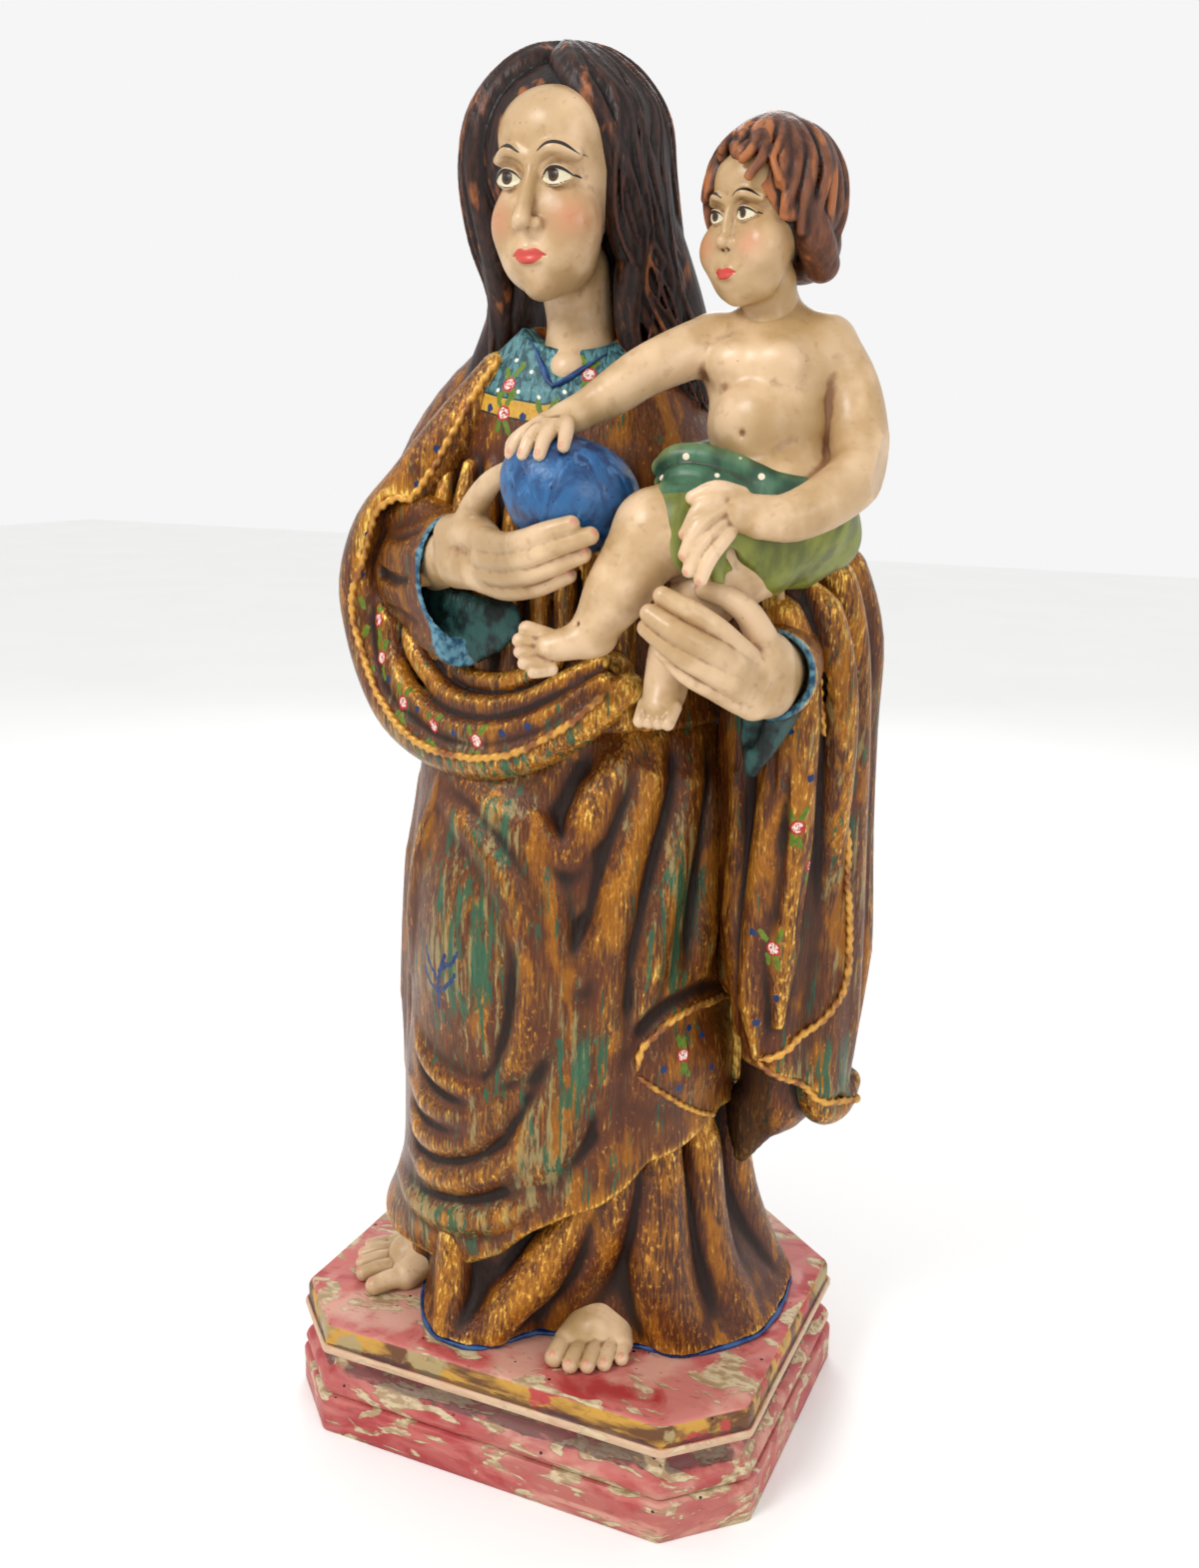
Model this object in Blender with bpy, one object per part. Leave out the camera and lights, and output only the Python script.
"""Madonna and Child: a glued, carved and painted wooden figure on an octagonal moulded base.

Metres, +Z up. The origin is the centre of the base's underside. The figure faces -Y, and the
child sits on its left arm, on the +X side. The carving is built the way a workshop glues one up:
three base boards, a trunk block, side blocks, and separate heads, hands, limbs and feet, all held
by hidden dowels. Glued faces keep a small gap, so that each piece stays a solid of its own.
"""
import math

import bmesh
import bpy
from mathutils import Euler, Vector

# Base, an octagon with its long side across the front
BASE_LENGTH = 0.300
BASE_DEPTH = 0.254
FRONT_CHAMFER = (0.040, 0.038)
BACK_CHAMFER = (0.061, 0.050)
PLINTH_TOP = 0.0247
MOULDING_TOP = 0.0527
SLAB_TOP = 0.0720
PLINTH_PROUD = 0.0016

# Figure, by height above the floor
HEM_Z = 0.1400
NECK_SEAT = 0.6400
HEAD_CENTRE = (-0.004, -0.022, 0.731)
RIGHT_JOINT_X = -0.0780
RIGHT_JOINT_Z = 0.4000
LEFT_JOINT_X = 0.1000
LEFT_JOINT_Z = 0.1500

# Child and orb
CHILD_SEAT = 0.5200
CHILD_NECK = 0.6580
CHILD_HEAD = (0.127, -0.072, 0.700)
ORB_CENTRE = (0.046, -0.121, 0.570)
ORB_RADII = (0.0310, 0.0310, 0.0275)

# Joinery
GAP = 0.0003
TRIM_GAP = 0.0006
DOWEL_RADIUS = 0.0040
SMALL_DOWEL_RADIUS = 0.0025
ARM_DOWEL_RADIUS = 0.0018
DOWEL_SIDES = 12

PAINTS = {
    "base_red": ((0.50, 0.20, 0.18), 0.60, 0.0),
    "base_gold": ((0.52, 0.33, 0.10), 0.50, 0.1),
    "robe_gold": ((0.36, 0.22, 0.07), 0.50, 0.1),
    "mantle_gold": ((0.46, 0.29, 0.09), 0.48, 0.1),
    "flesh": ((0.62, 0.48, 0.31), 0.42, 0.0),
    "hair_brown": ((0.10, 0.06, 0.045), 0.55, 0.0),
    "child_hair": ((0.24, 0.10, 0.05), 0.55, 0.0),
    "orb_blue": ((0.03, 0.14, 0.42), 0.35, 0.0),
    "loincloth_green": ((0.15, 0.28, 0.12), 0.50, 0.0),
    "bare_wood": ((0.45, 0.31, 0.19), 0.70, 0.0),
    "iron": ((0.18, 0.16, 0.15), 0.55, 0.9),
}


def clear_scene():
    for item in list(bpy.data.objects):
        bpy.data.objects.remove(item)


def paint(name):
    material = bpy.data.materials.get(name)
    if material:
        return material
    colour, roughness, metallic = PAINTS[name]
    material = bpy.data.materials.new(name)
    material.use_nodes = True
    shader = material.node_tree.nodes["Principled BSDF"]
    shader.inputs["Base Color"].default_value = (*colour, 1.0)
    shader.inputs["Roughness"].default_value = roughness
    shader.inputs["Metallic"].default_value = metallic
    return material


def new_object(name, bm, colour=None, smooth=True):
    """Turn a bmesh into a named object, smooth where faces meet at less than 40 degrees."""
    bmesh.ops.recalc_face_normals(bm, faces=bm.faces)
    if bm.calc_volume(signed=True) < 0:
        bmesh.ops.reverse_faces(bm, faces=bm.faces)
    mesh = bpy.data.meshes.new(name)
    bm.to_mesh(mesh)
    bm.free()
    if smooth:
        mesh.shade_smooth()
        mesh.set_sharp_from_angle(angle=math.radians(40))
    if colour:
        mesh.materials.append(paint(colour))
    piece = bpy.data.objects.new(name, mesh)
    bpy.context.collection.objects.link(piece)
    return piece


def hide_as_cutter(item):
    item.hide_render = True
    item.display_type = "WIRE"


def boolean(piece, other, operation):
    hide_as_cutter(other)
    modifier = piece.modifiers.new(operation.lower() + "_" + other.name, "BOOLEAN")
    modifier.operation = operation
    modifier.solver = "EXACT"
    modifier.object = other


def stack(bm, rings):
    """Skin a list of rings, all with the same number of points, and cap both ends."""
    loops = [[bm.verts.new(point) for point in ring] for ring in rings]
    for low, high in zip(loops, loops[1:]):
        for i in range(len(low)):
            j = (i + 1) % len(low)
            bm.faces.new((low[i], low[j], high[j], high[i]))
    bm.faces.new(reversed(loops[0]))
    bm.faces.new(loops[-1])


def octagon(proud, z):
    """The base's outline at height z, pushed out by proud."""
    x = BASE_LENGTH / 2 + proud
    y = BASE_DEPTH / 2 + proud
    fx, fy = FRONT_CHAMFER
    bx, by = BACK_CHAMFER
    corners = [(x - fx, -y), (x, fy - y), (x, y - by), (x - bx, y)]
    corners += [(bx - x, y), (-x, y - by), (-x, fy - y), (fx - x, -y)]
    return [(cx, cy, z) for cx, cy in corners]


def board(name, profile, colour):
    """A base board from its edge profile, a list of (proud, z) from bottom to top."""
    bm = bmesh.new()
    stack(bm, [octagon(proud, z) for proud, z in profile])
    return new_object(name, bm, colour, smooth=False)


def superellipse(cx, cy, z, rx, ry, sides, power=2.3):
    ring = []
    for i in range(sides):
        angle = math.tau * i / sides
        c = math.cos(angle)
        s = math.sin(angle)
        x = cx + rx * math.copysign(abs(c) ** (2 / power), c)
        y = cy + ry * math.copysign(abs(s) ** (2 / power), s)
        ring.append((x, y, z))
    return ring


def block(name, sections, colour, sides=28, keep=None):
    """A carved block from level sections (z, centre x, centre y, half width, half depth).

    keep is an optional (point, normal): what lies behind that plane is sawn off flat.
    """
    bm = bmesh.new()
    stack(bm, [superellipse(cx, cy, z, rx, ry, sides) for z, cx, cy, rx, ry in sections])
    if keep:
        saw(bm, *keep)
    return new_object(name, bm, colour)


def saw(bm, point, normal):
    """Cut flat along a plane and keep the side that the normal points to."""
    geometry = bm.verts[:] + bm.edges[:] + bm.faces[:]
    cut = bmesh.ops.bisect_plane(bm, geom=geometry, plane_co=point, plane_no=normal, clear_inner=True)
    rim = [item for item in cut["geom_cut"] if isinstance(item, bmesh.types.BMEdge)]
    bmesh.ops.holes_fill(bm, edges=rim)


def limb(name, joints, colour, sides=14, flat=1.0, keep=None):
    """A round limb through joints (x, y, z, radius), with rounded ends.

    flat scales the limb's thickness in the direction nearest to vertical.
    """
    centres = [Vector(joint[:3]) for joint in joints]
    radii = [joint[3] for joint in joints]
    first = (centres[0] - centres[1]).normalized()
    last = (centres[-1] - centres[-2]).normalized()
    route = []
    for turn in (75, 45):
        angle = math.radians(turn)
        tip = centres[0] + first * radii[0] * math.sin(angle)
        route.append((tip, radii[0] * math.cos(angle), -first))
    for i, centre in enumerate(centres):
        before = centres[max(i - 1, 0)]
        after = centres[min(i + 1, len(centres) - 1)]
        route.append((centre, radii[i], (after - before).normalized()))
    for turn in (45, 75):
        angle = math.radians(turn)
        tip = centres[-1] + last * radii[-1] * math.sin(angle)
        route.append((tip, radii[-1] * math.cos(angle), last))
    side = route[0][2].cross(Vector((0, 0, 1)))
    if side.length < 0.2:
        side = route[0][2].cross(Vector((0, 1, 0)))
    rings = []
    for centre, radius, along in route:
        side = (side - along * side.dot(along)).normalized()
        up = side.cross(along)
        ring = []
        for i in range(sides):
            angle = math.tau * i / sides
            ring.append(centre + side * radius * math.cos(angle) + up * radius * flat * math.sin(angle))
        rings.append(ring)
    bm = bmesh.new()
    stack(bm, rings)
    if keep:
        saw(bm, *keep)
    return new_object(name, bm, colour)


def ellipsoid(name, centre, radii, colour, turn=(0, 0, 0), segments=20, rings=12):
    bm = bmesh.new()
    bmesh.ops.create_uvsphere(bm, u_segments=segments, v_segments=rings, radius=1)
    spin = Euler([math.radians(angle) for angle in turn]).to_matrix()
    for vert in bm.verts:
        scaled = Vector([value * radius for value, radius in zip(vert.co, radii)])
        vert.co = Vector(centre) + spin @ scaled
    return new_object(name, bm, colour)


def box(name, low, high):
    bm = bmesh.new()
    corners = [(low[0], low[1]), (high[0], low[1]), (high[0], high[1]), (low[0], high[1])]
    stack(bm, [[(x, y, z) for x, y in corners] for z in (low[2], high[2])])
    return new_object(name, bm, smooth=False)


def notch(piece, low, high):
    boolean(piece, box("notch_" + piece.name, low, high), "DIFFERENCE")


def trim(piece, *neighbours):
    """Carve piece back to clear each neighbour, with a slightly swollen copy of the neighbour."""
    for neighbour in neighbours:
        bm = bmesh.new()
        bm.from_mesh(neighbour.data)
        bm.normal_update()
        shifts = [vert.normal * TRIM_GAP for vert in bm.verts]
        for vert, shift in zip(bm.verts, shifts):
            vert.co += shift
        cutter = new_object("clear_" + neighbour.name + "_in_" + piece.name, bm)
        boolean(piece, cutter, "DIFFERENCE")


def rod(name, start, end, radius, colour=None):
    """A straight round rod between two points."""
    start = Vector(start)
    end = Vector(end)
    bm = bmesh.new()
    bmesh.ops.create_cone(bm, cap_ends=True, segments=DOWEL_SIDES, radius1=radius, radius2=radius,
                          depth=(end - start).length)
    spin = (end - start).to_track_quat("Z", "Y").to_matrix()
    middle = (start + end) / 2
    for vert in bm.verts:
        vert.co = middle + spin @ vert.co
    return new_object(name, bm, colour)


def dowel(name, start, end, radius, *pieces):
    """A hidden dowel, and its clearance hole in each piece that it joins."""
    start = Vector(start)
    end = Vector(end)
    rod(name, start, end, radius, "bare_wood")
    spare = (end - start).normalized() * GAP
    for piece in pieces:
        hole = rod("hole_" + name + "_in_" + piece.name, start - spare, end + spare, radius + GAP)
        boolean(piece, hole, "DIFFERENCE")


def screw(name, x, y, top, *pieces):
    """A countersunk wood screw driven up from the underside, with its hole in each piece."""
    head = 0.0015
    profile = [(head, 0.0050), (head + 0.0030, 0.0022), (top - 0.004, 0.0022), (top, 0.0006)]
    for label, spare in (("", 0.0), ("hole_", GAP)):
        rings = []
        for z, radius in profile:
            rings.append([(x + (radius + spare) * math.cos(math.tau * i / DOWEL_SIDES),
                           y + (radius + spare) * math.sin(math.tau * i / DOWEL_SIDES),
                           z + (spare if z == top else 0.0)) for i in range(DOWEL_SIDES)])
        if label:
            mouth = [(px, py, -0.001) for px, py, _ in rings[0]]
            rings.insert(0, mouth)
        bm = bmesh.new()
        stack(bm, rings)
        item = new_object(label + name, bm, "iron")
        if label:
            for piece in pieces:
                boolean(piece, item, "DIFFERENCE")


def make_base():
    plinth = board("plinth_board", [(PLINTH_PROUD, 0.0), (PLINTH_PROUD, 0.0235),
                                    (PLINTH_PROUD - 0.0012, PLINTH_TOP)], "base_red")
    low = PLINTH_TOP + GAP
    moulding = board("moulding_board", [(-0.0014, low), (-0.0014, low + 0.0012), (0.0, low + 0.0020),
                                        (0.0005, low + 0.0065), (-0.0025, low + 0.0105),
                                        (-0.0065, low + 0.0145), (-0.0095, low + 0.0200),
                                        (-0.0095, MOULDING_TOP)], "base_red")
    low = MOULDING_TOP + GAP
    slab = board("top_slab", [(-0.0012, low), (0.0, low + 0.0012), (0.0, low + 0.0055),
                              (-0.0022, low + 0.0065), (-0.0022, low + 0.0155),
                              (-0.0045, SLAB_TOP)], "base_gold")
    places = ((-0.115, -0.070), (0.115, -0.070), (-0.100, 0.080), (0.100, 0.080))
    for number, (x, y) in enumerate(places, 1):
        dowel("base_dowel_%d" % number, (x, y, 0.010), (x, y, 0.062), DOWEL_RADIUS,
              plinth, moulding, slab)
    return plinth, moulding, slab


def make_feet():
    floor = SLAB_TOP + GAP
    right = limb("right_foot", [(-0.070, -0.034, 0.086, 0.0150), (-0.097, -0.050, 0.083, 0.0160),
                                (-0.117, -0.063, 0.080, 0.0125)], "flesh",
                 keep=((0, 0, floor), (0, 0, 1)))
    left = limb("left_foot", [(0.046, -0.046, 0.087, 0.0150), (0.047, -0.070, 0.083, 0.0160),
                              (0.046, -0.086, 0.080, 0.0125)], "flesh",
                keep=((0, 0, floor), (0, 0, 1)))
    return right, left


def make_trunk(feet, boards):
    sections = [
        (SLAB_TOP + GAP, 0.012, 0.004, 0.116, 0.080),
        (0.100, 0.011, 0.003, 0.112, 0.080),
        (HEM_Z, 0.006, 0.000, 0.108, 0.084),
        (HEM_Z + 0.003, 0.001, -0.010, 0.114, 0.096),
        (0.220, 0.002, -0.011, 0.111, 0.098),
        (0.300, 0.003, -0.012, 0.108, 0.100),
        (0.360, 0.004, -0.012, 0.104, 0.096),
        (0.420, 0.008, -0.010, 0.101, 0.088),
        (0.480, 0.008, 0.000, 0.100, 0.076),
        (0.540, 0.008, 0.003, 0.098, 0.070),
        (0.590, 0.004, 0.000, 0.090, 0.066),
        (0.620, -0.002, -0.006, 0.070, 0.056),
        (NECK_SEAT, -0.004, -0.012, 0.042, 0.038),
    ]
    trunk = block("figure_trunk", sections, "robe_gold", sides=32)
    notch(trunk, (-0.2, -0.2, RIGHT_JOINT_Z), (RIGHT_JOINT_X, 0.2, 0.7))
    far_side = box("notch_left_side", (LEFT_JOINT_X, -0.2, LEFT_JOINT_Z), (0.2, 0.2, 0.7))
    boolean(trunk, far_side, "DIFFERENCE")
    trim(trunk, *feet)
    right_foot, left_foot = feet
    dowel("right_foot_dowel", (-0.080, -0.040, 0.084), (-0.045, -0.020, 0.084), SMALL_DOWEL_RADIUS,
          right_foot, trunk)
    dowel("left_foot_dowel", (0.046, -0.055, 0.085), (0.046, -0.010, 0.085), SMALL_DOWEL_RADIUS,
          left_foot, trunk)
    screw("trunk_screw_front", 0.0, -0.035, 0.125, *boards, trunk)
    screw("trunk_screw_back", 0.0, 0.050, 0.125, *boards, trunk)
    return trunk


def make_side_blocks(trunk):
    x = RIGHT_JOINT_X - GAP
    right = block("mantle_right_block", [
        (RIGHT_JOINT_Z + GAP, x, -0.008, 0.030, 0.052),
        (0.440, x, -0.008, 0.049, 0.062),
        (0.480, x, -0.004, 0.066, 0.062),
        (0.520, x, 0.000, 0.071, 0.058),
        (0.560, x, 0.002, 0.058, 0.052),
        (0.600, x, 0.002, 0.028, 0.040),
        (0.616, x, 0.002, 0.012, 0.020),
    ], "mantle_gold", sides=27, keep=((x, 0, 0), (-1, 0, 0)))
    x = LEFT_JOINT_X + GAP
    left = block("mantle_left_block", [
        (LEFT_JOINT_Z + GAP, x, 0.015, 0.040, 0.040),
        (0.200, x, 0.018, 0.076, 0.055),
        (0.260, x, 0.020, 0.083, 0.060),
        (0.330, x, 0.020, 0.084, 0.062),
        (0.400, x, 0.018, 0.080, 0.062),
        (0.460, x, 0.014, 0.076, 0.062),
        (0.520, x, 0.012, 0.062, 0.056),
        (0.570, x, 0.012, 0.040, 0.046),
        (0.600, x, 0.012, 0.016, 0.026),
    ], "mantle_gold", sides=27, keep=((x, 0, 0), (1, 0, 0)))
    for number, z in enumerate((0.445, 0.540), 1):
        dowel("right_block_dowel_%d" % number, (-0.098, 0.005, z), (-0.050, 0.005, z),
              DOWEL_RADIUS, right, trunk)
    for number, z in enumerate((0.220, 0.380, 0.520), 1):
        dowel("left_block_dowel_%d" % number, (0.075, 0.015, z), (0.125, 0.015, z),
              DOWEL_RADIUS, left, trunk)
    return right, left


def make_forearms(trunk, right_block, left_block):
    right = limb("right_forearm", [(-0.112, -0.060, 0.505, 0.0340), (-0.078, -0.078, 0.516, 0.0360),
                                   (-0.052, -0.088, 0.522, 0.0360)], "mantle_gold", sides=18,
                 keep=((-0.030, -0.095, 0.525), (-0.93, 0.37, 0.0)))
    trim(right, trunk, right_block)
    left = limb("left_forearm", [(0.134, -0.035, 0.488, 0.0300), (0.144, -0.070, 0.482, 0.0300),
                                 (0.150, -0.090, 0.478, 0.0290)], "mantle_gold", sides=18,
                keep=((0.150, -0.104, 0.480), (0, 1, 0)))
    trim(left, trunk, left_block)
    dowel("right_forearm_dowel", (-0.060, -0.088, 0.520), (-0.046, -0.030, 0.520), DOWEL_RADIUS,
          right, trunk)
    dowel("left_forearm_dowel", (0.138, -0.082, 0.480), (0.128, -0.010, 0.480), DOWEL_RADIUS,
          left, left_block)
    return right, left


def make_head(trunk):
    x, y, z = HEAD_CENTRE
    face = ellipsoid("madonna_face", (x, y - 0.030, z - 0.014), (0.034, 0.034, 0.050), "flesh")
    head = ellipsoid("madonna_head", (x, y + 0.006, z + 0.003), (0.056, 0.060, 0.064), "hair_brown",
                     segments=24, rings=16)
    neck = limb("neck_stub", [(x, y + 0.008, NECK_SEAT + 0.004, 0.0230), (x, y + 0.004, 0.700, 0.0240)],
                "flesh", keep=((0, 0, NECK_SEAT + GAP), (0, 0, 1)))
    boolean(head, neck, "UNION")
    locks = block("back_locks", [(0.600, x, 0.030, 0.046, 0.022), (0.640, x, 0.030, 0.052, 0.026),
                                 (0.680, x, 0.018, 0.052, 0.030), (0.710, x, 0.010, 0.045, 0.030)],
                  "hair_brown", sides=20)
    boolean(head, locks, "UNION")
    trim(head, face, trunk)
    dowel("neck_dowel", (x, y + 0.008, 0.600), (x, y + 0.008, 0.700), DOWEL_RADIUS, head, trunk)
    return head, face


def make_right_hand_and_orb(forearm):
    orb = ellipsoid("orb", ORB_CENTRE, ORB_RADII, "orb_blue", segments=24, rings=16)
    hand = limb("right_hand", [(-0.036, -0.094, 0.534, 0.0110), (-0.010, -0.106, 0.534, 0.0150),
                               (0.020, -0.118, 0.536, 0.0170), (0.050, -0.126, 0.541, 0.0110)],
                "flesh", flat=0.8)
    trim(hand, orb, forearm)
    dowel("right_hand_dowel", (-0.044, -0.0905, 0.5345), (-0.004, -0.108, 0.5345),
          SMALL_DOWEL_RADIUS, hand, forearm)
    dowel("orb_dowel", (0.026, -0.1190, 0.530), (0.038, -0.1205, 0.565), SMALL_DOWEL_RADIUS, hand, orb)
    return hand, orb


def make_child(trunk, left_block, forearm, orb):
    x, y, z = CHILD_HEAD
    body = block("child_body", [
        (CHILD_SEAT, 0.138, -0.080, 0.034, 0.032),
        (0.545, 0.136, -0.084, 0.036, 0.034),
        (0.575, 0.132, -0.082, 0.029, 0.026),
        (0.605, 0.130, -0.078, 0.031, 0.026),
        (0.635, 0.128, -0.074, 0.034, 0.025),
        (0.648, 0.128, -0.073, 0.026, 0.020),
        (CHILD_NECK, 0.127, -0.072, 0.014, 0.014),
    ], "loincloth_green", sides=22)
    trim(body, trunk, left_block, forearm)
    head = ellipsoid("child_head", (x, y, z), (0.034, 0.036, 0.039), "child_hair")
    neck = limb("child_neck_stub", [(x, y, CHILD_NECK + 0.003, 0.0130), (x, y, 0.690, 0.0130)],
                "flesh", keep=((0, 0, CHILD_NECK + GAP), (0, 0, 1)))
    boolean(head, neck, "UNION")
    trim(head, trunk)
    dowel("child_neck_dowel", (x, y, 0.632), (x, y, 0.684), SMALL_DOWEL_RADIUS, head, body)
    dowel("child_seat_dowel", (0.143, -0.075, 0.488), (0.138, -0.078, 0.548), SMALL_DOWEL_RADIUS,
          body, forearm)
    right_arm = limb("child_right_arm", [(0.100, -0.086, 0.640, 0.0120), (0.078, -0.106, 0.620, 0.0105),
                                         (0.056, -0.120, 0.606, 0.0085), (0.040, -0.124, 0.602, 0.0075)],
                     "flesh")
    trim(right_arm, orb, body, trunk)
    left_arm = limb("child_left_arm", [(0.164, -0.068, 0.636, 0.0120), (0.171, -0.066, 0.606, 0.0115),
                                       (0.172, -0.074, 0.582, 0.0110), (0.150, -0.104, 0.568, 0.0095),
                                       (0.128, -0.122, 0.563, 0.0080)], "flesh")
    trim(left_arm, body)
    right_leg = limb("child_right_leg", [(0.122, -0.100, 0.548, 0.0180), (0.096, -0.126, 0.548, 0.0160),
                                         (0.082, -0.132, 0.526, 0.0125), (0.071, -0.134, 0.504, 0.0100),
                                         (0.046, -0.142, 0.494, 0.0095)], "flesh")
    trim(right_leg, body, orb, trunk)
    left_leg = limb("child_left_leg", [(0.152, -0.102, 0.546, 0.0180), (0.146, -0.128, 0.542, 0.0160),
                                       (0.126, -0.124, 0.514, 0.0125), (0.104, -0.118, 0.486, 0.0100),
                                       (0.097, -0.122, 0.474, 0.0095)], "flesh")
    trim(left_leg, body, forearm, right_leg, left_arm, trunk)
    dowel("child_right_arm_dowel", (0.086, -0.099, 0.627), (0.108, -0.081, 0.632),
          ARM_DOWEL_RADIUS, right_arm, body)
    dowel("child_left_arm_dowel", (0.170, -0.067, 0.622), (0.148, -0.072, 0.628),
          ARM_DOWEL_RADIUS, left_arm, body)
    return body, head, right_leg, left_leg


def make_left_hand(forearm, *neighbours):
    hand = limb("left_hand", [(0.150, -0.098, 0.480, 0.0110), (0.143, -0.118, 0.487, 0.0140),
                              (0.126, -0.138, 0.500, 0.0150), (0.104, -0.146, 0.520, 0.0110)],
                "flesh", flat=0.8)
    trim(hand, forearm, *neighbours)
    dowel("left_hand_dowel", (0.149, -0.086, 0.481), (0.145, -0.116, 0.486), SMALL_DOWEL_RADIUS,
          hand, forearm)
    return hand


def main():
    clear_scene()
    boards = make_base()
    trunk = make_trunk(make_feet(), boards)
    right_block, left_block = make_side_blocks(trunk)
    right_forearm, left_forearm = make_forearms(trunk, right_block, left_block)
    make_head(trunk)
    hand, orb = make_right_hand_and_orb(right_forearm)
    body, head, right_leg, left_leg = make_child(trunk, left_block, left_forearm, orb)
    trim(right_leg, hand)
    make_left_hand(left_forearm, body, right_leg, left_leg)


main()
